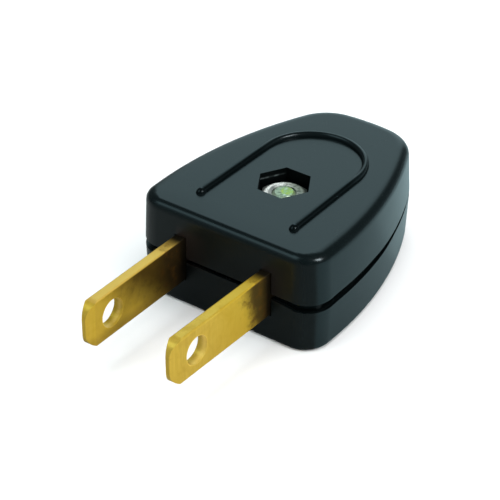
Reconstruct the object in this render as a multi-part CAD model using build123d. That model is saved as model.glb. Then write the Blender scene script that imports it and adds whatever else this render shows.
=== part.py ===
from build123d import *
from math import cos, pi, radians, sin, tan
import os

# All lengths are millimetres.
# X runs across the plug, the blades point along -Y, Z is up and the plug lies on its lower shell.

# Contact blades
blade_pitch = 12.7
blade_thickness = 1.45
blade_height = 6.2
blade_reach = 18.2
blade_edge_radius = 0.25
blade_tip_rounding = 2.1
blade_bevel_length = 1.3
blade_bevel_depth = 0.45
blade_hole_diameter = 3.6
blade_hole_to_tip = 4.4
ear_height = 1.0
ear_length = 1.4
tail_height = 5.0
tail_beyond_terminal = 3.6
blade_slot_clearance = 0.12

# Housing outline in plan, the same for both shells
body_length = 32.4
body_width = 27.2
widest_from_front = 5.3
side_radius = 54.0
rear_radius = 28.0
front_corner_radius = 3.5
rear_corner_radius = 6.4

# Housing in height, its outer edges rounded as ellipses
upper_height = 6.6
lower_height = 6.8
draft_angle = 3.0
upper_rounding = {"rise": 1.2, "side": 1.6, "front": 1.1}
lower_rounding = {"rise": 0.8, "side": 0.9, "front": 0.6}
rounding_steps = 6

# Seam round the housing, wide along the front and narrower behind a taper measured from the front
upper_seam = {"wide": 0.45, "narrow": 0.12}
lower_seam = {"wide": 0.65, "narrow": 0.14}
seam_taper_start = 13.0
seam_taper_end = 22.0
seam_depth = 1.0

# Housing walls
side_wall = 1.8
front_wall = 2.6
floor_wall = 1.8
partition_wall = 1.6
ear_rib_wall = 1.0
cavity_corner_radius = 1.0

# Clamp screw, nut and their seats
screw_from_front = 12.7
screw_diameter = 3.0
screw_end_above_nut = 0.15
screw_end_chamfer = 0.35
screw_hole_clearance = 0.15
thread_clearance = 0.05
head_diameter = 5.5
head_height = 2.0
head_chamfer = 0.5
head_pocket_clearance = 0.35
head_pocket_depth = 2.6
driver_slot_width = 0.8
driver_slot_depth = 0.9
nut_across_flats = 5.5
nut_height = 2.4
nut_chamfer_rise = 0.45
nut_chamfer_run = 0.85
nut_below_top = 1.4
nut_pocket_clearance = 0.2
boss_wall = 1.1

# Terminal screws in the blade tails
terminal_head_diameter = 4.8
terminal_head_height = 1.8
terminal_head_clearance = 0.28
terminal_tip = 2.15

# Cord inlet and the ribs that grip a cord, the ribs measured from the rear
inlet_diameter = 7.0
inlet_flare = 0.8
inlet_collar_wall = 1.4
inlet_collar_length = 3.4
grip_diameter = 6.2
grip_rib_wall = 1.4
lower_grip_ribs = (10.0, 5.2)
upper_grip_ribs = (7.6,)

# Raised U-shaped bead on the upper shell
bead_span = 13.5
bead_radius = 0.58
bead_sides = 16
bead_front = 4.4
bead_arc_centre = 18.5
bead_end_radius = 0.8
bead_end_sink = 0.2

# Places along Y, with the whole length centred on the origin
front_y = blade_reach - (blade_reach + body_length) / 2
rear_y = front_y + body_length
tip_y = front_y - blade_reach
chamber_y = front_y + front_wall
screw_y = front_y + screw_from_front
ear_rib_y = chamber_y + ear_length + blade_slot_clearance
terminal_y = ear_rib_y + ear_rib_wall + terminal_head_clearance + terminal_head_diameter / 2
blade_slot_width = blade_thickness + 2 * blade_slot_clearance
ample = 4 * body_length


def plan_face(inset, front_inset, front_radius):
    """Shield outline: two large side arcs, a shallow rear arc and a straight front."""
    half_shift = side_radius - body_width / 2
    centre_y = front_y + widest_from_front
    right_side = Pos(-half_shift, centre_y) * Rot(0, 0, 180) * Circle(side_radius - inset)
    left_side = Pos(half_shift, centre_y) * Circle(side_radius - inset)
    rear = Pos(0, rear_y - rear_radius) * Circle(rear_radius - inset)
    behind_front = Pos(0, front_y + front_inset + ample / 2) * Rectangle(ample, ample)
    face = right_side & left_side & rear & behind_front
    left_rear, right_rear = face.vertices().sort_by(Axis.Y)[-2:]
    rear_radius_limit = 0.75 * left_rear.distance_to(right_rear)
    face = fillet([left_rear, right_rear], min(rear_corner_radius - inset, rear_radius_limit))
    return fillet(face.vertices().sort_by(Axis.Y)[:2], front_radius)


def flat_front_loft(sections):
    """Ruled loft through the sections, its front patch replaced by a plane face."""
    faces = loft(sections, ruled=True).faces().sort_by(Axis.Y)
    return Solid(Shell([Face(faces[0].outer_wire()), *faces[1:]]))


def seam_groove(seam):
    """Half the seam: the space below a tapered floor, outside the lip on which the shells meet."""
    ahead = front_y - body_length
    behind = rear_y + body_length
    floor = [(ahead, seam["wide"]), (front_y + seam_taper_start, seam["wide"])]
    floor += [(front_y + seam_taper_end, seam["narrow"]), (behind, seam["narrow"])]
    profile = Polyline((behind, -seam_depth), (ahead, -seam_depth), *floor, close=True)
    lip = extrude(plan_face(seam_depth, seam_depth, front_corner_radius - seam_depth), ample, both=True)
    return extrude(Plane.YZ * make_face(profile), body_width, both=True) - lip


def half_block(height, rounding, seam):
    """Solid half housing on the parting plane: grooved foot, drafted wall, elliptically rounded cap."""
    wall_top = height - rounding["rise"]
    lean = (wall_top - seam["wide"]) * tan(radians(draft_angle))
    outline = plan_face(0, 0, front_corner_radius)
    foot = extrude(outline, seam["wide"]) - seam_groove(seam)
    cap_sections = []
    for step in range(rounding_steps + 1):
        angle = pi / 2 * step / rounding_steps
        side = rounding["side"] * (1 - cos(angle))
        front = rounding["front"] * (1 - cos(angle))
        z = wall_top + rounding["rise"] * sin(angle)
        cap_sections.append(Pos(0, 0, z) * plan_face(lean + side, front, front_corner_radius - side))
    wall = flat_front_loft([Pos(0, 0, seam["wide"]) * outline, cap_sections[0]])
    return foot + wall + loft(cap_sections, ruled=True)


def cross_rib(y, thickness, height):
    """Upright rib right across the housing, y being its middle."""
    return Pos(0, y, height / 2) * Box(ample, thickness, height)


def bar_along_y(diameter, start, end):
    """Round bar along Y on the parting plane."""
    return Pos(0, (start + end) / 2, 0) * Rot(90, 0, 0) * Cylinder(diameter / 2, end - start)


def half_shell(height, rounding, seam, boss_radius, grip_ribs):
    """Hollow half housing with blade slots, partition, screw boss, cord ribs and half the cord inlet."""
    depth = height - floor_wall
    cavity = extrude(plan_face(side_wall, front_wall, cavity_corner_radius), depth)
    partition_length = screw_y - chamber_y
    partition = Box(partition_wall, partition_length, depth)
    inside = Pos(0, chamber_y + partition_length / 2, depth / 2) * partition
    inside += Pos(0, screw_y, depth / 2) * Cylinder(boss_radius, depth)
    inside += bar_along_y(inlet_diameter + 2 * inlet_collar_wall, rear_y - inlet_collar_length, rear_y)
    ear_rib = cross_rib(ear_rib_y + ear_rib_wall / 2, ear_rib_wall, depth)
    tail_gap = tail_height + 2 * blade_slot_clearance
    for x in (-blade_pitch / 2, blade_pitch / 2):
        ear_rib -= Pos(x, ear_rib_y, 0) * Box(blade_slot_width, 4 * ear_rib_wall, tail_gap)
    inside += ear_rib
    cord_space = bar_along_y(grip_diameter, screw_y, rear_y)
    for from_rear in grip_ribs:
        inside += cross_rib(rear_y - from_rear, grip_rib_wall, depth) - cord_space
    shell = half_block(height, rounding, seam) - cavity + (inside & cavity)
    for x in (-blade_pitch / 2, blade_pitch / 2):
        shell -= Pos(x, front_y + front_wall / 2, 0) * Box(blade_slot_width, front_wall, blade_height)
    shell -= bar_along_y(inlet_diameter, rear_y - inlet_collar_length, rear_y + inlet_flare)
    flare = Cone(inlet_diameter / 2, inlet_diameter / 2 + inlet_flare, inlet_flare)
    shell -= Pos(0, rear_y - inlet_flare / 2, 0) * Rot(-90, 0, 0) * flare
    shell -= Pos(0, screw_y, 0) * Cylinder(screw_diameter / 2 + screw_hole_clearance, 2 * height)
    return shell


def hexagon(across_flats, height):
    """Hexagonal prism with corners on X, standing on its base."""
    return extrude(RegularPolygon(across_flats / 2, 6, major_radius=False), height)


def grip_bead():
    """U-shaped half-round bead with ball ends on the top face, its section a polygon of many sides."""
    x = bead_span / 2
    start = (-x, front_y + bead_front, upper_height)
    turn = (-x, front_y + bead_arc_centre, upper_height)
    apex = (0, front_y + bead_arc_centre + x, upper_height)
    back = (x, front_y + bead_arc_centre, upper_height)
    end = (x, front_y + bead_front, upper_height)
    path = Line(start, turn) + ThreePointArc(turn, apex, back) + Line(back, end)
    bead = sweep(Plane(origin=start, z_dir=(0, 1, 0)) * RegularPolygon(bead_radius, bead_sides), path)
    ball = Pos(0, 0, -bead_end_sink) * Sphere(bead_end_radius)
    return bead + Pos(*start) * ball + Pos(*end) * ball


def make_upper_shell():
    pocket_flats = nut_across_flats + 2 * nut_pocket_clearance
    boss_radius = pocket_flats / 2 / cos(pi / 6) + boss_wall
    shell = half_shell(upper_height, upper_rounding, upper_seam, boss_radius, upper_grip_ribs)
    shell += grip_bead()
    seat_z = upper_height - nut_below_top - nut_height
    shell -= Pos(0, screw_y, seat_z) * hexagon(pocket_flats, upper_height)
    return Pos(0, 0, lower_height) * shell


def make_lower_shell():
    pocket_radius = head_diameter / 2 + head_pocket_clearance
    boss_radius = pocket_radius + boss_wall
    shell = half_shell(lower_height, lower_rounding, lower_seam, boss_radius, lower_grip_ribs)
    shell -= Pos(0, screw_y, lower_height) * Cylinder(pocket_radius, 2 * head_pocket_depth)
    return Pos(0, 0, lower_height) * mirror(shell, Plane.XY)


def make_blade():
    """Flat blade about the plane x = 0: rounded bevelled tip, ears behind the front wall, narrower tail."""
    length = chamber_y - tip_y
    section = fillet(Rectangle(blade_thickness, blade_height).vertices(), blade_edge_radius)
    blade = Pos(0, chamber_y, 0) * extrude(Plane.XZ * section, length)
    side_view = Rectangle(length, blade_height, align=(Align.MIN, Align.CENTER))
    side_view = fillet(side_view.vertices().group_by(Axis.X)[0], blade_tip_rounding)
    blade = blade & extrude(Plane.YZ * Pos(tip_y, 0) * side_view, blade_thickness, both=True)
    half = blade_thickness / 2
    slim = half - blade_bevel_depth
    shoulder_y = tip_y + blade_bevel_length
    plan_view = [(-half, chamber_y), (-half, shoulder_y), (-slim, tip_y)]
    plan_view += [(-x, y) for x, y in reversed(plan_view)]
    blade = blade & extrude(make_face(Polyline(*plan_view, close=True)), blade_height, both=True)
    tail_length = terminal_y + tail_beyond_terminal - chamber_y
    root = Rectangle(tail_length, tail_height, align=(Align.MIN, Align.CENTER))
    root += Rectangle(ear_length, blade_height + 2 * ear_height, align=(Align.MIN, Align.CENTER))
    blade += extrude(Plane.YZ * Pos(chamber_y, 0) * root, half, both=True)
    tip_hole = Cylinder(blade_hole_diameter / 2, 2 * blade_thickness)
    blade -= Pos(0, tip_y + blade_hole_to_tip, 0) * Rot(0, 90, 0) * tip_hole
    tapped_hole = Cylinder(screw_diameter / 2 + thread_clearance, 2 * blade_thickness)
    return blade - Pos(0, terminal_y, 0) * Rot(0, 90, 0) * tapped_hole


def make_screw(across, height, length):
    """Slotted screw along Z, the head on top and its seat at z = 0."""
    head = Pos(0, 0, height / 2) * Cylinder(across / 2, height)
    head = chamfer(head.faces().sort_by(Axis.Z)[-1].edges(), head_chamfer)
    head -= Pos(0, 0, height) * Box(2 * across, driver_slot_width, 2 * driver_slot_depth)
    shank = Pos(0, 0, -length / 2) * Cylinder(screw_diameter / 2, length)
    return head + chamfer(shank.faces().sort_by(Axis.Z)[0].edges(), screw_end_chamfer)


def make_clamp_screw():
    seat_to_nut_top = lower_height - head_pocket_depth + upper_height - nut_below_top
    screw = make_screw(head_diameter, head_height, seat_to_nut_top + screw_end_above_nut)
    return Pos(0, screw_y, head_pocket_depth) * Rot(180, 0, 0) * screw


def make_clamp_nut():
    """Hexagon nut with chamfered corners on both faces, seated in the pocket of the upper shell."""
    drum = Pos(0, 0, nut_height / 2) * Cylinder(nut_across_flats / 2 / cos(pi / 6), nut_height)
    drum = chamfer(drum.edges().filter_by(GeomType.CIRCLE), nut_chamfer_rise, nut_chamfer_run)
    bore = Cylinder(screw_diameter / 2 + thread_clearance, 3 * nut_height)
    seat_z = lower_height + upper_height - nut_below_top - nut_height
    return Pos(0, screw_y, seat_z) * ((hexagon(nut_across_flats, nut_height) & drum) - bore)


blade = make_blade()
screw = make_screw(terminal_head_diameter, terminal_head_height, blade_thickness + terminal_tip)
terminal_screw = Pos(blade_thickness / 2, terminal_y, 0) * Rot(0, 90, 0) * screw
left_place = Pos(-blade_pitch / 2, 0, lower_height)
right_place = Pos(blade_pitch / 2, 0, lower_height)

shapes = {
    "upper_shell": make_upper_shell(),
    "lower_shell": make_lower_shell(),
    "left_blade": left_place * blade,
    "right_blade": right_place * blade,
    "left_terminal_screw": left_place * mirror(terminal_screw, Plane.YZ),
    "right_terminal_screw": right_place * terminal_screw,
    "clamp_screw": make_clamp_screw(),
    "clamp_nut": make_clamp_nut(),
}

os.makedirs("parts", exist_ok=True)
for name, shape in shapes.items():
    export_step(shape, f"parts/{name}.step")
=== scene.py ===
from math import cos, pi, radians, sin

import bmesh
import bpy
import numpy as np
from mathutils import Matrix, Vector


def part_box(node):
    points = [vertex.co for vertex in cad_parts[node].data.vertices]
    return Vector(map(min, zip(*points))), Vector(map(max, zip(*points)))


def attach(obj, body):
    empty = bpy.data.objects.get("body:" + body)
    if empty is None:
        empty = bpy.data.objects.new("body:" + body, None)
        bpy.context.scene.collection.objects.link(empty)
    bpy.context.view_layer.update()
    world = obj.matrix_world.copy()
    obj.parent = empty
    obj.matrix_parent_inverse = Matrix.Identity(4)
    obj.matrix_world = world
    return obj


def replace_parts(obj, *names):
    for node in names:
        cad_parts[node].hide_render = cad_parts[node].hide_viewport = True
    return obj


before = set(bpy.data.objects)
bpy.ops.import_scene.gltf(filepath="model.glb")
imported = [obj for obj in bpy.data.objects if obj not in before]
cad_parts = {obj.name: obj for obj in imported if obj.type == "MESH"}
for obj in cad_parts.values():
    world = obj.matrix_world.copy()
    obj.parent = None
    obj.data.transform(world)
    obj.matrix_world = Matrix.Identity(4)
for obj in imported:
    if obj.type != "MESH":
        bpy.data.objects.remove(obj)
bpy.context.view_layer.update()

MM = 0.001
TINY = 1e-20

# Places of the plug, in metres: the blades point along -Y and the underside lies on z = 0
shell_low, shell_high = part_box("upper_shell")
blade_low, blade_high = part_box("right_blade")
nut_low, nut_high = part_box("clamp_nut")
BEAD_HEIGHT = 0.6 * MM
HALF_BLADE_HEIGHT = 3.1 * MM
FRONT_Y = shell_low.y
PARTING_Z = shell_low.z
TOP_Z = shell_high.z - BEAD_HEIGHT
SCREW_Y = 0.5 * (nut_low.y + nut_high.y)
NUT_TOP_Z = nut_high.z
BLADE_X = 0.5 * (blade_low.x + blade_high.x)
BLADE_TOP_Z = PARTING_Z + HALF_BLADE_HEIGHT
TIP_Y = blade_low.y

# Blades: the punched hole, how much wider it is than in the solid where the punch went in and broke out,
# and how far the tip of the right blade leans towards the left one
HOLE_Y = TIP_Y + 4.4 * MM
HOLE_RADIUS = 1.8 * MM
HOLE_WIDER_IN = 0.08 * MM
HOLE_WIDER_OUT = 0.18 * MM
TIP_LEAN = 0.45 * MM

# Nut pocket: how far its corners are from the screw's axis in the solid, and how much further they go
POCKET_RADIUS = 3.406 * MM
POCKET_ROOM = 0.2 * MM
POCKET_REACH = POCKET_RADIUS + POCKET_ROOM

# Bead: its arms and the middle of its arc, how far from its line its points reach, the share of its width
# trimmed off, where its ball ends stop and how far they move back and apart
BEAD_X = 6.75 * MM
BEAD_ARC_Y = FRONT_Y + 18.5 * MM
BEAD_REACH = 0.9 * MM
BEAD_TRIM = 0.2
BALL_END_Y = FRONT_Y + 5.4 * MM
BALL_SETBACK = 0.65 * MM
BALL_SPREAD = 0.15 * MM

# Seam between the shells, in mm: places, then the heights there of its upper and its lower edge from the
# parting plane. The solids and the sides are measured from the front, and the front from its middle.
SOLID_SEAM = ((13.0, 22.0), (0.45, 0.12), (0.65, 0.14))
FRONT_SEAM = ((5.5, 10.1), (0.1, 0.1), (0.5, 0.9))
SIDE_SEAM = ((1.0, 5.0, 13.0, 17.0, 21.0, 25.0, 28.0),
             (0.05, 0.35, 0.25, 0.05, 0.05, 0.05, 0.1),
             (1.05, 0.8, 0.75, 0.75, 0.5, 0.45, 0.15))

# Points of the solids that belong to the seam's edges, in mm: their heights from the parting plane, how far
# back the front's edges reach, and how far from the middle the walls of the sides begin
EDGE_LOWEST = 0.05
EDGE_HIGHEST = 0.66
FRONT_DEPTH = 1.1
SIDES_FROM = 5.0

# How close to a named place of the solids a point lies to belong to it
CORNER_NEAR = 0.02 * MM
TOP_NEAR = 0.01 * MM
HOLE_NEAR = 0.05 * MM

# Smoothing: points closer than this are one, and edges sharper than these angles in degrees stay sharp
MERGE_DISTANCE = 0.002 * MM
HOUSING_CREASE = 34
BLADE_CREASE = 18
FASTENER_CREASE = 24

# Colours of the housing, as linear red, green and blue
BLACK_DEEP = (0.0008, 0.0020, 0.0022)
BLACK_PALE = (0.0018, 0.0032, 0.0034)
GLOSS_TINT = (0.82, 0.96, 1.0)
RUB_GREY = (0.006, 0.008, 0.0085)
# Pale streak on one wall of the nut pocket: a painted highlight
HIGHLIGHT_GREY = (0.20, 0.235, 0.24)
# Floor of the seam: painted lighter, as painted light
SEAM_LIGHT_GREY = (0.030, 0.035, 0.036)
# Brown on the front beside the slots: a painted reflection of the brass blades
REFLECTED_BRASS_BROWN = (0.020, 0.0125, 0.009)

# Colours of the blades
BRASS_DEEP = (0.58, 0.375, 0.036)
BRASS_PALE = (0.78, 0.54, 0.085)
BRASS_TARNISHED = (0.48, 0.27, 0.016)
BRASS_NEAR_ROOT = (0.62, 0.395, 0.022)
# Top edge of the left blade: a painted highlight
BRASS_EDGE_HIGHLIGHT = (0.84, 0.55, 0.13)
BRASS_LOWER_EDGE = (0.20, 0.10, 0.010)
# Walls of the punched holes: a painted highlight
BRASS_HIGHLIGHT = (1.0, 0.76, 0.22)
# Flats of the left blade: painted shade
BRASS_SHADE_BROWN = (0.060, 0.031, 0.006)
# Roots of the blades: painted shade
ROOT_SHADE = (0.036, 0.021, 0.006)
ROOT_RUST = (0.20, 0.085, 0.008)
# Brass inside the slots: painted black as shade
SLOT_SHADE_BLACK = (0.010, 0.007, 0.003)

# Colours of the nut and the screws
ZINC_PALE = (0.86, 0.92, 0.86)
ZINC_BRIGHT = (0.98, 1.0, 0.98)
# Nut towards the right rear: painted shade
ZINC_SHADED = (0.13, 0.17, 0.125)
ZINC_PIT = (0.06, 0.085, 0.065)
# Rim of the nut and crescent beside the thread: painted shade
ZINC_SHADE = (0.035, 0.045, 0.040)
SCREW_SILVER = (0.56, 0.66, 0.56)
SCREW_GREEN = (0.30, 0.52, 0.20)
SCREW_LIME = (0.42, 0.60, 0.12)
SCREW_YELLOW = (0.60, 0.50, 0.12)
SCREW_WORN = (0.38, 0.49, 0.36)
SCREW_PIT = (0.08, 0.12, 0.08)

# Colours of the table and the light
BLACK = (0.0, 0.0, 0.0)
TABLE_GREY = (0.88, 0.88, 0.88)
TABLE_WHITE = (0.91, 0.91, 0.91)
NEUTRAL_SHEEN = (0.92, 0.97, 0.95)
COOL_SHEEN = (0.70, 0.95, 1.0)

# Table top, in metres: its innermost and outermost ring, how far from the plug it stays level and how
# steeply it rises then; for reflections, how far a second one lies above it and the corner that its tones
# turn round
TABLE_INNER = 0.02
TABLE_OUTER = 2.5
TABLE_LEVEL = 0.5
TABLE_RISE = 0.18
TABLE_RINGS = 40
TABLE_SPOKES = 96
MIRROR_LIFT = 0.01 * MM
MIRROR_CORNER_X = 11.0 * MM
MIRROR_CORNER_Y = -5.0 * MM

# Camera: its angles in degrees, its place from the middle of the housing's front, and its lens in mm
CAMERA_TURN = 36.119
CAMERA_RISE = 33.89
CAMERA_BACK = 238.459 * MM
CAMERA_RIGHT = 3.310 * MM
CAMERA_UP = 2.962 * MM
CAMERA_LENS = 143.15
CAMERA_SENSOR = 36.0
CAMERA_NEAR = 5.0 * MM

# Studio: the surround's brightness, then for each window its left and right azimuth, its low and high
# elevation and its softness in degrees, and its brightness
SURROUND = 0.11
WINDOWS = [
    (-46, -9, -10, 48, 8, 0.97),
    (-168, -118, 36, 68, 5, 1.3),
    (-5, 110, -30, 8, 12, 0.28),
]

# Lamps: name, direction from the plug, distance and width in metres, brightness, shown in reflections or not
LAMPS = [
    ("key", (0.72, 0.03, 0.69), 0.5, 0.14, 13.0, True),
    ("fill", (0.0, 0.0, 1.0), 0.9, 1.1, 3.0, False),
    ("side", (0.90, -0.36, 0.14), 0.6, 0.2, 30.0, False),
]


# Shader nodes

class Wire:
    """A node socket that takes part in Python arithmetic; every operation adds one Math node."""

    def __init__(self, graph, socket):
        self.graph = graph
        self.socket = socket

    def math(self, operation, *values):
        """Result of one Math node on values or wires."""
        return self.graph.node("ShaderNodeMath", {"operation": operation}, dict(enumerate(values)))

    def __add__(self, other):
        return self.math("ADD", self, other)

    def __radd__(self, other):
        return self.math("ADD", other, self)

    def __sub__(self, other):
        return self.math("SUBTRACT", self, other)

    def __rsub__(self, other):
        return self.math("SUBTRACT", other, self)

    def __mul__(self, other):
        return self.math("MULTIPLY", self, other)

    def __rmul__(self, other):
        return self.math("MULTIPLY", other, self)


class Graph:
    """A node tree and the one method that adds nodes to it."""

    def __init__(self, tree):
        self.tree = tree
        tree.nodes.clear()

    def node(self, kind, settings=None, inputs=None, output=0):
        """Adds a node: first its settings, then the values or wires of its sockets; returns one output."""
        made = self.tree.nodes.new(kind)
        for name, value in (settings or {}).items():
            if name == "stops":
                ramp = made.color_ramp.elements
                while len(ramp) < len(value):
                    ramp.new(1.0)
                for stop, (place, shade) in zip(ramp, value):
                    stop.position = place
                    stop.color = (*shade, 1.0)
            else:
                setattr(made, name, value)
        for key, value in (inputs or {}).items():
            socket = made.inputs[key]
            if isinstance(value, Wire):
                self.tree.links.new(value.socket, socket)
            elif socket.type == "RGBA" and len(value) == 3:
                socket.default_value = (*value, 1.0)
            else:
                socket.default_value = value
        return Wire(self, made.outputs[output]) if made.outputs else None

    def axes(self, place, names="XYZ"):
        """The named coordinates of a place."""
        return [self.node("ShaderNodeSeparateXYZ", {}, {"Vector": place}, axis) for axis in names]

    def stretched(self, place, scale):
        """A place with each axis times its scale."""
        return self.node("ShaderNodeMapping", {}, {"Vector": place, "Scale": scale})

    def distance(self, place, axes, centre):
        """Distance from a centre along the axes that are 1; with two of them, the distance from a line."""
        return self.node("ShaderNodeVectorMath", {"operation": "DISTANCE"},
                         {0: self.stretched(place, axes), 1: centre}, "Value")

    def noise(self, place, scale, detail=2.0, roughness=0.5, distortion=0.0):
        """Soft random field from 0 to 1 at that many cells a metre."""
        return self.node("ShaderNodeTexNoise", {}, {
            "Vector": place, "Scale": scale, "Detail": detail,
            "Roughness": roughness, "Distortion": distortion,
        })

    def band(self, value, low, high):
        """Smooth step from 0 at low to 1 at high."""
        return self.node("ShaderNodeMapRange", {"interpolation_type": "SMOOTHSTEP"},
                         {"Value": value, "From Min": low, "From Max": high})

    def mix(self, share, first, second):
        """Colour between two colours."""
        return self.node("ShaderNodeMix", {"data_type": "RGBA"}, {0: share, 6: first, 7: second}, 2)

    def bump(self, height, depth):
        """Normal of a surface raised by height times depth in metres."""
        return self.node("ShaderNodeBump", {}, {"Strength": 1.0, "Distance": depth, "Height": height})


def finish_of(name):
    """A new material, its node graph and the wire of its Object coordinates."""
    material = bpy.data.materials.new(name)
    material.use_nodes = True
    graph = Graph(material.node_tree)
    return material, graph, graph.node("ShaderNodeTexCoord", {}, {}, "Object")


def surface(graph, inputs):
    """Ends a graph in a Principled surface."""
    shader = graph.node("ShaderNodeBsdfPrincipled", {}, inputs)
    graph.node("ShaderNodeOutputMaterial", {}, {"Surface": shader})


# Finishes

def slot_reflection(graph, x, z, blade_x, reach):
    """Mask of the painted brown reflection of a blade beside its slot, from the blade to that reach on its
    right, above the seam.
    """
    past = x - blade_x
    across = graph.band(past, reach, 0.75 * MM) * graph.band(past, -0.85 * MM, -0.25 * MM)
    above = graph.band(z, PARTING_Z - 1.2 * MM, PARTING_Z)
    return across * above * graph.band(z, BLADE_TOP_Z + 1.9 * MM, BLADE_TOP_Z + 0.3 * MM)


def pocket_highlight(graph, place, x, y, z):
    """Mask of a painted highlight: a broken pale line just above the nut, on the pocket's wall that faces
    right and forward.
    """
    wall = POCKET_REACH * cos(radians(30))
    outward = sin(radians(30)) * (y - SCREW_Y) - cos(radians(30)) * x
    on_wall = graph.band(outward, wall - 0.103 * MM, wall - 0.033 * MM)
    line = graph.band(z, NUT_TOP_Z + 0.44 * MM, NUT_TOP_Z + 0.60 * MM)
    line = line * graph.band(z, NUT_TOP_Z + 0.78 * MM, NUT_TOP_Z + 0.62 * MM)
    dashes = graph.band(graph.noise(graph.stretched(place, (1.0, 0.0, 0.0)), 1900.0, 1.0), 0.36, 0.60)
    return on_wall * line * (0.2 + 0.8 * dashes) * graph.band(x, -1.7 * MM, -2.7 * MM)


def black_plastic():
    """Black moulded plastic: fine tool grain, slow flow marks in its gloss, dull rubs and a duller front.
    The nut pocket is darkened by painted shade, with a painted highlight on one wall; the seam's floor is
    painted lighter as painted light; the front carries a painted brown reflection of the blades beside the
    slots; and the arms of the bead are darkened by painted shade."""
    material, graph, place = finish_of("black_plastic")
    x, y, z = graph.axes(place)
    grain = graph.noise(place, 5200.0, 2.0)
    flow = graph.noise(graph.stretched(place, (1.0, 0.45, 1.0)), 210.0, 3.0, 0.55, 0.6)
    rub = graph.band(graph.noise(place, 950.0, 5.0, 0.7), 0.58, 0.74)
    front = graph.band(y, FRONT_Y + 0.5 * MM, FRONT_Y + 0.1 * MM)
    off_axis = graph.distance(place, (1.0, 1.0, 0.0), (0.0, SCREW_Y, 0.0))
    # Nut pocket walls: painted shade, darkened by metallic black that kills their gloss, and made rougher
    pocket = graph.band(off_axis, POCKET_REACH + 0.044 * MM, POCKET_REACH + 0.014 * MM)
    pocket = pocket * graph.band(z, TOP_Z - 0.005 * MM, TOP_Z - 0.01 * MM)
    # Pale broken line on one pocket wall: a painted highlight
    wall_highlight = pocket * pocket_highlight(graph, place, x, y, z)
    # Arms of the bead: painted shade, darkened by metallic black that kills their gloss
    arms = graph.band(z, TOP_Z + 0.02 * MM, TOP_Z + 0.16 * MM)
    arms = arms * graph.band(y, BEAD_ARC_Y + 0.5 * MM, BEAD_ARC_Y - 2.5 * MM)
    # Floor of the seam just below the parting plane: painted lighter, painted light standing in for light
    # reaching into the groove
    seam_light = graph.band(z, PARTING_Z - 0.42 * MM, PARTING_Z - 0.3 * MM)
    seam_light = seam_light * graph.band(z, PARTING_Z + 0.05 * MM, PARTING_Z)
    # Brown beside each slot, to the right of its blade: a painted reflection of the blade in the front
    left_reflection = slot_reflection(graph, x, z, -BLADE_X, 5.35 * MM)
    right_reflection = slot_reflection(graph, x, z, BLADE_X, 4.05 * MM)
    blade_reflection = (0.85 * left_reflection + 0.55 * right_reflection) * front * (0.7 + 0.3 * rub)
    shade = graph.mix(flow, BLACK_DEEP, BLACK_PALE)
    shade = graph.mix(rub * 0.35, shade, RUB_GREY)
    shade = graph.mix(wall_highlight, shade, HIGHLIGHT_GREY)
    shade = graph.mix(seam_light, shade, SEAM_LIGHT_GREY)
    shade = graph.mix(blade_reflection, shade, REFLECTED_BRASS_BROWN)
    surface(graph, {
        "Base Color": shade,
        "Roughness": 0.21 + 0.06 * flow + 0.04 * rub + 0.45 * pocket + 0.16 * front,
        "Metallic": 0.8 * pocket + 0.5 * arms,
        "IOR": 1.5,
        "Specular Tint": GLOSS_TINT,
        "Normal": graph.bump(grain + 0.8 * rub, 0.0016 * MM),
    })
    return material


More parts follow.
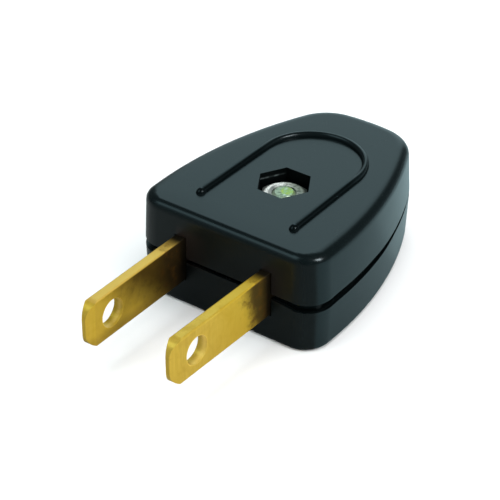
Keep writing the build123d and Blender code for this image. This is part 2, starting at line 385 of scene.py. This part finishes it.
def blade_brass():
    """Bare sheet brass: fine rolling lines across the blade and patchy tarnish. The flats of the left blade
    and both roots are darkened by painted shade, the brass in the slots is painted black as shade, the top
    edge of the left blade has a painted highlight, and the holes' walls have a painted highlight where they
    broke out."""
    material, graph, place = finish_of("blade_brass")
    x, y, z = graph.axes(place)
    lines = graph.noise(graph.stretched(place, (1.0, 1.0, 0.045)), 4200.0, 3.0, 0.6)
    tarnish = graph.band(graph.noise(place, 420.0, 4.0, 0.6, 0.8), 0.42, 0.78)
    spots = graph.band(graph.noise(place, 900.0, 4.0, 0.6), 0.48, 0.70)
    edge = graph.band(z, BLADE_TOP_Z - 0.20 * MM, BLADE_TOP_Z - 0.05 * MM)
    left = graph.band(x, 1.0 * MM, -1.0 * MM)
    off_hole = graph.distance(place, (0.0, 1.0, 1.0), (0.0, HOLE_Y, PARTING_Z))
    hole = graph.band(off_hole, HOLE_RADIUS + 0.16 * MM, HOLE_RADIUS + 0.09 * MM)
    # Walls of the holes towards the side where the punch broke out: paler, a painted highlight; the lower
    # metallic there adds to it
    hole_highlight = hole * graph.band(x + BLADE_X * (2.0 * left - 1.0), 0.6 * MM, -0.1 * MM)
    along = y - FRONT_Y + (spots + tarnish) * 0.8 * MM
    near_root = graph.band(along + 8.0 * MM * left, -13.0 * MM, -6.0 * MM)
    # Flats of the left blade, darker brown towards the root: painted shade, standing in for the dark things
    # they reflect
    brown = left * (1.0 - edge) * graph.band(along + 1.3 * (z - PARTING_Z), -13.4 * MM, -4.1 * MM)
    low = left * graph.band(z, PARTING_Z - 1.2 * MM, PARTING_Z - 2.6 * MM)
    tilted = along + 0.25 * (z - PARTING_Z) * (1.0 - edge)
    # Both roots near the front: darkened by painted shade, standing in for the dark housing they reflect
    root = graph.band(tilted, -5.2 * MM + 2.0 * MM * edge - 0.9 * MM * left, -2.3 * MM + 0.7 * MM * edge)
    # Brass inside the slots: painted black, painted shade inside the housing
    slot_shade = graph.band(y - FRONT_Y + 0.5 * MM * edge, -2.1 * MM, -0.2 * MM)
    shade = graph.mix(lines, BRASS_DEEP, BRASS_PALE)
    shade = graph.mix(tarnish * 0.5, shade, BRASS_TARNISHED)
    shade = graph.mix(near_root * 0.6, shade, BRASS_NEAR_ROOT)
    # Top edge of the left blade: paler, a painted highlight
    shade = graph.mix(edge * left * 0.6, shade, BRASS_EDGE_HIGHLIGHT)
    shade = graph.mix(low * 0.4, shade, BRASS_LOWER_EDGE)
    shade = graph.mix(hole_highlight * (0.4 + 0.6 * spots), shade, BRASS_HIGHLIGHT)
    shade = graph.mix(brown * 0.92, shade, BRASS_SHADE_BROWN)
    shade = graph.mix(root * (0.93 - 0.45 * edge), shade, ROOT_SHADE)
    shade = graph.mix(root * spots * 0.4, shade, ROOT_RUST)
    shade = graph.mix(slot_shade, shade, SLOT_SHADE_BLACK)
    surface(graph, {
        "Base Color": shade,
        "Metallic": 0.62 - 0.30 * hole - 0.08 * hole_highlight,
        "Roughness": 0.28 + 0.10 * lines + 0.10 * tarnish + 0.14 * root,
        "Normal": graph.bump(lines + 0.5 * spots, 0.0022 * MM),
    })
    return material


def plating_pits(graph, place):
    """Mask of the small pits in zinc plate."""
    return graph.band(graph.noise(place, 2300.0, 3.0, 0.65), 0.47, 0.62)


def zinc_nut():
    """Bright zinc plate, pitted all over and darker towards the right rear by painted shade, with painted
    shade at its rim and in a crescent beside the thread."""
    material, graph, place = finish_of("zinc_nut")
    x, y = graph.axes(place, "XY")
    cloud = graph.noise(place, 1100.0, 3.0, 0.6)
    pits = plating_pits(graph, place)
    # Darker towards the right rear: painted shade
    dull = graph.band(0.81 * x + 0.59 * (y - SCREW_Y), -0.8 * MM, 1.5 * MM)
    off_axis = graph.distance(place, (1.0, 1.0, 0.0), (0.0, SCREW_Y, 0.0))
    # Dark rim next to the pocket walls and dark crescent beside the thread: painted shade
    rim = graph.band(off_axis + 0.25 * MM * cloud, 2.50 * MM, 2.80 * MM)
    thread = graph.band(off_axis + 0.3 * MM * cloud, 2.30 * MM, 2.05 * MM)
    thread = thread * graph.band(-0.82 * x - 0.57 * (y - SCREW_Y), 0.5 * MM, 1.4 * MM)
    shade = graph.mix(cloud, ZINC_PALE, ZINC_BRIGHT)
    shade = graph.mix(dull * 0.85, shade, ZINC_SHADED)
    shade = graph.mix(pits * (0.45 + 0.40 * dull), shade, ZINC_PIT)
    shade = graph.mix(rim * 0.9 + thread * (1.0 - rim) * 0.75, shade, ZINC_SHADE)
    surface(graph, {
        "Base Color": shade,
        "Metallic": 0.3,
        "Roughness": 0.30 + 0.2 * cloud,
        "Normal": graph.bump(cloud - 0.6 * pits, 0.012 * MM),
    })
    return material


def passivated_screw():
    """Pitted zinc with a yellow-green passivation that shifts in tint from spot to spot; away from a place
    beside the clamp screw's axis it is worn to a grey green."""
    material, graph, place = finish_of("passivated_screw")
    cloud = graph.noise(place, 1400.0, 3.0, 0.6, 0.5)
    pits = plating_pits(graph, place)
    off_centre = graph.distance(place, (1.0, 1.0, 0.0), (0.30 * MM, SCREW_Y + 0.30 * MM, 0.0))
    worn = graph.band(off_centre + 0.8 * MM * cloud, 1.1 * MM, 1.5 * MM)
    stops = [(0.36, SCREW_SILVER), (0.46, SCREW_GREEN), (0.58, SCREW_LIME), (0.68, SCREW_YELLOW)]
    shade = graph.node("ShaderNodeValToRGB", {"stops": stops}, {"Fac": cloud})
    shade = graph.mix(worn, shade, SCREW_WORN)
    shade = graph.mix(pits * (0.15 + 0.55 * worn), shade, SCREW_PIT)
    surface(graph, {
        "Base Color": shade,
        "Metallic": 0.6,
        "Roughness": 0.28 + 0.2 * cloud,
        "Normal": graph.bump(graph.noise(place, 3600.0, 2.0), 0.003 * MM),
    })
    return material


FINISH = {
    "black_plastic": black_plastic(),
    "blade_brass": blade_brass(),
    "zinc_nut": zinc_nut(),
    "passivated_screw": passivated_screw(),
}


# Pieces

def corner_normals(points, facets, crease):
    """Normal of every facet corner: the mean normal of the facets round its point that lie within the crease
    angle of its own facet, each weighted by its area times its angle at that point."""
    corner = points[facets]
    along = np.roll(corner, -1, axis=1) - corner
    back = np.roll(corner, 1, axis=1) - corner
    cross = np.cross(corner[:, 1] - corner[:, 0], corner[:, 2] - corner[:, 0])
    area = np.linalg.norm(cross, axis=1)
    normal = cross / np.maximum(area, TINY)[:, None]
    size = np.linalg.norm(along, axis=2) * np.linalg.norm(back, axis=2)
    angle = np.arccos(np.clip((along * back).sum(2) / np.maximum(size, TINY), -1, 1))
    weight = (angle * area[:, None]).ravel()
    owner = np.repeat(np.arange(len(facets)), 3)
    order = np.argsort(facets.ravel(), kind="stable")
    point = facets.ravel()[order]
    count = np.bincount(point, minlength=len(points))
    first = np.cumsum(count) - count
    many = count[point]
    left = np.repeat(np.arange(len(point)), many)
    right = np.arange(many.sum()) - np.repeat(np.cumsum(many) - many, many) + np.repeat(first[point], many)
    here, there = order[left], order[right]
    near = (normal[owner[here]] * normal[owner[there]]).sum(1) > cos(crease)
    share = normal[owner[there]] * (weight[there] * near)[:, None]
    total = np.stack([np.bincount(here, share[:, k], len(weight)) for k in range(3)], 1)
    return total / np.maximum(np.linalg.norm(total, axis=1), TINY)[:, None]


def points_of(mesh):
    """Places of a mesh's points, one row each."""
    points = np.empty(3 * len(mesh.vertices))
    mesh.vertices.foreach_get("co", points)
    return points.reshape(-1, 3)


def smooth(mesh, crease):
    """Shades a mesh of triangles smooth up to the crease angle, in degrees."""
    facets = np.empty(len(mesh.loops), int)
    mesh.loops.foreach_get("vertex_index", facets)
    mesh.polygons.foreach_set("use_smooth", np.ones(len(mesh.polygons), bool))
    normals = corner_normals(points_of(mesh), facets.reshape(-1, 3), radians(crease))
    mesh.normals_split_custom_set(normals)
    mesh.update()


def add_piece(name, mesh, slot):
    """A piece that rides on the plug, with its finish."""
    piece = bpy.data.objects.new(name, mesh)
    bpy.context.scene.collection.objects.link(piece)
    mesh.materials.clear()
    mesh.materials.append(FINISH[slot])
    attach(piece, "root")
    return piece


def trim_seam(points):
    """Moves the seam's edges from the height they have in the solid to the height given for their place:
    across the front by the distance from the middle, along the sides by the distance behind the front."""
    across = np.abs(points[:, 0]) / MM
    behind = (points[:, 1] - FRONT_Y) / MM
    height = (points[:, 2] - PARTING_Z) / MM
    at_front = (behind < FRONT_DEPTH) & (across < FRONT_SEAM[0][-1])
    in_seam = (np.abs(height) > EDGE_LOWEST) & (np.abs(height) < EDGE_HIGHEST)
    on_edge = in_seam & (at_front | (across > SIDES_FROM))
    for row, sign in ((1, 1.0), (2, -1.0)):
        edge = np.where(at_front, np.interp(across, FRONT_SEAM[0], FRONT_SEAM[row]),
                        np.interp(behind, SIDE_SEAM[0], SIDE_SEAM[row]))
        shift = edge - np.interp(behind, SOLID_SEAM[0], SOLID_SEAM[row])
        points[:, 2] += np.where(on_edge & (sign * height > 0.0), sign * shift * MM, 0.0)


def open_pocket(points):
    """Moves the corners of the nut pocket away from the screw's axis."""
    off_axis = points[:, :2] - (0.0, SCREW_Y)
    at_corner = np.abs(np.linalg.norm(off_axis, axis=1) - POCKET_RADIUS) < CORNER_NEAR
    points[:, :2] += np.where(at_corner, POCKET_ROOM / POCKET_RADIUS, 0.0)[:, None] * off_axis


def trim_bead(points):
    """Narrows the bead. Its line is two straight arms and a half circle round the middle of the arc: its
    points move towards that line by a share of their distance from it, and then its ball ends back along the
    arms and a little apart."""
    beyond = np.maximum(points[:, 1] - BEAD_ARC_Y, 0.0)
    reach = np.maximum(np.hypot(points[:, 0], beyond), TINY)
    off_line = reach - BEAD_X
    on_bead = (np.abs(off_line) < BEAD_REACH) & (points[:, 2] > TOP_Z - TOP_NEAR)
    at_ball = on_bead & (points[:, 1] < BALL_END_Y)
    inward = np.where(on_bead, BEAD_TRIM * off_line / reach, 0.0)
    points[:, 1] -= inward * beyond
    points[:, 0] -= inward * points[:, 0]
    points[:, 0] += np.where(at_ball, np.sign(points[:, 0]) * BALL_SPREAD, 0.0)
    points[:, 1] += np.where(at_ball, BALL_SETBACK, 0.0)


def shape_upper(points):
    """Small forms of the upper shell."""
    trim_seam(points)
    open_pocket(points)
    trim_bead(points)


def open_hole(points):
    """Widens the punched hole about its axis: a little where the punch went in, more where it broke out."""
    off_axis = points[:, 1:] - (HOLE_Y, PARTING_Z)
    radius = np.linalg.norm(off_axis, axis=1)
    wider = np.where(points[:, 0] > np.sign(points[:, 0]) * BLADE_X, HOLE_WIDER_IN, HOLE_WIDER_OUT)
    share = np.where(np.abs(radius - HOLE_RADIUS) < HOLE_NEAR, wider / HOLE_RADIUS, 0.0)
    points[:, 1:] += share[:, None] * off_axis


def lean_inward(points):
    """Opens the hole, then leans the blade towards its twin, evenly more from the front to the tip."""
    open_hole(points)
    points[:, 0] -= TIP_LEAN * np.clip((FRONT_Y - points[:, 1]) / (FRONT_Y - TIP_Y), 0.0, 1.0)


def dressed(node, name, slot, crease, shape=None):
    """Puts a copy of a solid's facets in its place, with its points merged, its small forms shaped and its
    rounded faces shaded smooth."""
    solid = bmesh.new()
    solid.from_mesh(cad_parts[node].data)
    bmesh.ops.remove_doubles(solid, verts=solid.verts, dist=MERGE_DISTANCE)
    mesh = bpy.data.meshes.new(name)
    solid.to_mesh(mesh)
    solid.free()
    if shape:
        points = points_of(mesh)
        shape(points)
        mesh.vertices.foreach_set("co", points.ravel())
    smooth(mesh, crease)
    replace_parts(add_piece(name, mesh, slot), node)


dressed("upper_shell", "upper_housing", "black_plastic", HOUSING_CREASE, shape_upper)
dressed("lower_shell", "lower_housing", "black_plastic", HOUSING_CREASE, trim_seam)
dressed("left_blade", "left_contact_blade", "blade_brass", BLADE_CREASE, open_hole)
dressed("right_blade", "right_contact_blade", "blade_brass", BLADE_CREASE, lean_inward)
dressed("clamp_nut", "hexagon_nut", "zinc_nut", FASTENER_CREASE)
dressed("clamp_screw", "housing_screw", "passivated_screw", FASTENER_CREASE)
dressed("left_terminal_screw", "left_wire_screw", "passivated_screw", FASTENER_CREASE)
dressed("right_terminal_screw", "right_wire_screw", "passivated_screw", FASTENER_CREASE)


# Camera, table and light

def add_camera():
    """Camera of the picture: turned 36 degrees to the right of the blades and 34 degrees above the table."""
    turn, rise = radians(CAMERA_TURN), radians(CAMERA_RISE)
    back = Vector((sin(turn) * cos(rise), -cos(turn) * cos(rise), sin(rise)))
    right = Vector((cos(turn), sin(turn), 0.0))
    up = back.cross(right)
    front = Vector((0.0, FRONT_Y, PARTING_Z))
    data = bpy.data.cameras.new("camera")
    data.sensor_width = CAMERA_SENSOR
    data.lens = CAMERA_LENS
    data.clip_start = CAMERA_NEAR
    camera = bpy.data.objects.new("camera", data)
    camera.matrix_world = Matrix((right, up, back)).transposed().to_4x4()
    camera.location = front + CAMERA_BACK * back + CAMERA_RIGHT * right + CAMERA_UP * up
    bpy.context.scene.collection.objects.link(camera)
    bpy.context.scene.camera = camera


def add_disc(name, height, steepness):
    """Round table top: level near the plug, then rising as the square of the distance past that."""
    rings = np.concatenate([[0.0], np.geomspace(TABLE_INNER, TABLE_OUTER, TABLE_RINGS)])
    spokes = np.linspace(0.0, 2.0 * pi, TABLE_SPOKES, endpoint=False)
    ring, spoke = np.meshgrid(rings, spokes, indexing="ij")
    level = height + steepness * np.clip(ring - TABLE_LEVEL, 0.0, None) ** 2
    points = np.stack([ring * np.cos(spoke), ring * np.sin(spoke), level], 2)
    index = np.arange(ring.size).reshape(ring.shape)
    after = np.roll(index, -1, axis=1)
    faces = np.stack([index[:-1], index[1:], after[1:], after[:-1]], 2).reshape(-1, 4)
    mesh = bpy.data.meshes.new(name)
    mesh.from_pydata(points.reshape(-1, 3), [], faces.tolist())
    mesh.validate()
    mesh.polygons.foreach_set("use_smooth", np.ones(len(mesh.polygons), bool))
    disc = bpy.data.objects.new(name, mesh)
    bpy.context.scene.collection.objects.link(disc)
    return disc


def matt(graph, shade):
    """Ends a graph in a dull surface of that colour."""
    surface(graph, {"Base Color": shade, "Roughness": 0.9, "Specular IOR Level": 0.0})


def add_floor():
    """Pale table top for the eye, which reflections don't show."""
    floor = add_disc("floor", 0.0, TABLE_RISE)
    material, graph, place = finish_of("pale_floor")
    matt(graph, graph.mix(graph.noise(place, 9.0, 3.0), TABLE_GREY, TABLE_WHITE))
    floor.data.materials.append(material)
    floor.visible_glossy = False


def add_mirrored_floor():
    """Second table top just above the pale one, which only reflections show: grey to the right of the plug,
    darker further left and darkest before its front. Its darker tones are painted shade of the plug on the
    table."""
    mirrored = add_disc("mirrored_floor", MIRROR_LIFT, 0.0)
    material, graph, place = finish_of("mirrored_floor")
    x, y = graph.axes(place, "XY")
    round_corner = x.math("ARCTAN2", y - MIRROR_CORNER_Y, x - MIRROR_CORNER_X)
    right = graph.band(round_corner, radians(-26), radians(-14))
    right = right * graph.band(round_corner, radians(150), radians(120))
    left = graph.band(x - 0.77 * y, -0.5 * MM, -4.0 * MM)
    # Darker tone further left and darkest before the plug's front: painted shade, seen only in reflections
    tone = 0.14 + 0.25 * right + 0.12 * left
    matt(graph, graph.mix(tone, BLACK, graph.mix(right, NEUTRAL_SHEEN, COOL_SHEEN)))
    mirrored.data.materials.append(material)
    mirrored.visible_camera = False
    mirrored.visible_diffuse = False
    mirrored.visible_shadow = False


def add_lamp(name, towards, distance, width, radiance, glossy):
    """Square soft lamp of a given brightness, seen from the plug in the direction towards."""
    data = bpy.data.lights.new(name, "AREA")
    data.size = width
    data.energy = radiance * pi * width * width
    lamp = bpy.data.objects.new(name, data)
    heading = Vector(towards).normalized()
    lamp.matrix_world = heading.to_track_quat("Z", "Y").to_matrix().to_4x4()
    lamp.location = heading * distance
    lamp.visible_glossy = glossy
    bpy.context.scene.collection.objects.link(lamp)


def add_studio():
    """Dim surround with soft-edged windows; each is the product of a band in azimuth, counted from +Y
    towards +X, and a band in elevation."""
    world = bpy.data.worlds.new("studio")
    world.use_nodes = True
    graph = Graph(world.node_tree)
    x, y, z = graph.axes(graph.node("ShaderNodeTexCoord", {}, {}, "Generated"))
    azimuth = x.math("ARCTAN2", x, y)
    elevation = z.math("ARCSINE", z)
    light = SURROUND
    for left, right, low, high, soft, gain in WINDOWS:
        sides = graph.band(azimuth, radians(left - soft), radians(left + soft))
        sides = sides * graph.band(azimuth, radians(right + soft), radians(right - soft))
        ends = graph.band(elevation, radians(low - soft), radians(low + soft))
        ends = ends * graph.band(elevation, radians(high + soft), radians(high - soft))
        light = light + gain * sides * ends
    sky = graph.node("ShaderNodeBackground", {}, {"Color": COOL_SHEEN, "Strength": light})
    graph.node("ShaderNodeOutputWorld", {}, {"Surface": sky})
    bpy.context.scene.world = world


add_camera()
add_floor()
add_mirrored_floor()
add_studio()
for lamp in LAMPS:
    add_lamp(*lamp)
bpy.context.scene.view_settings.view_transform = "Standard"
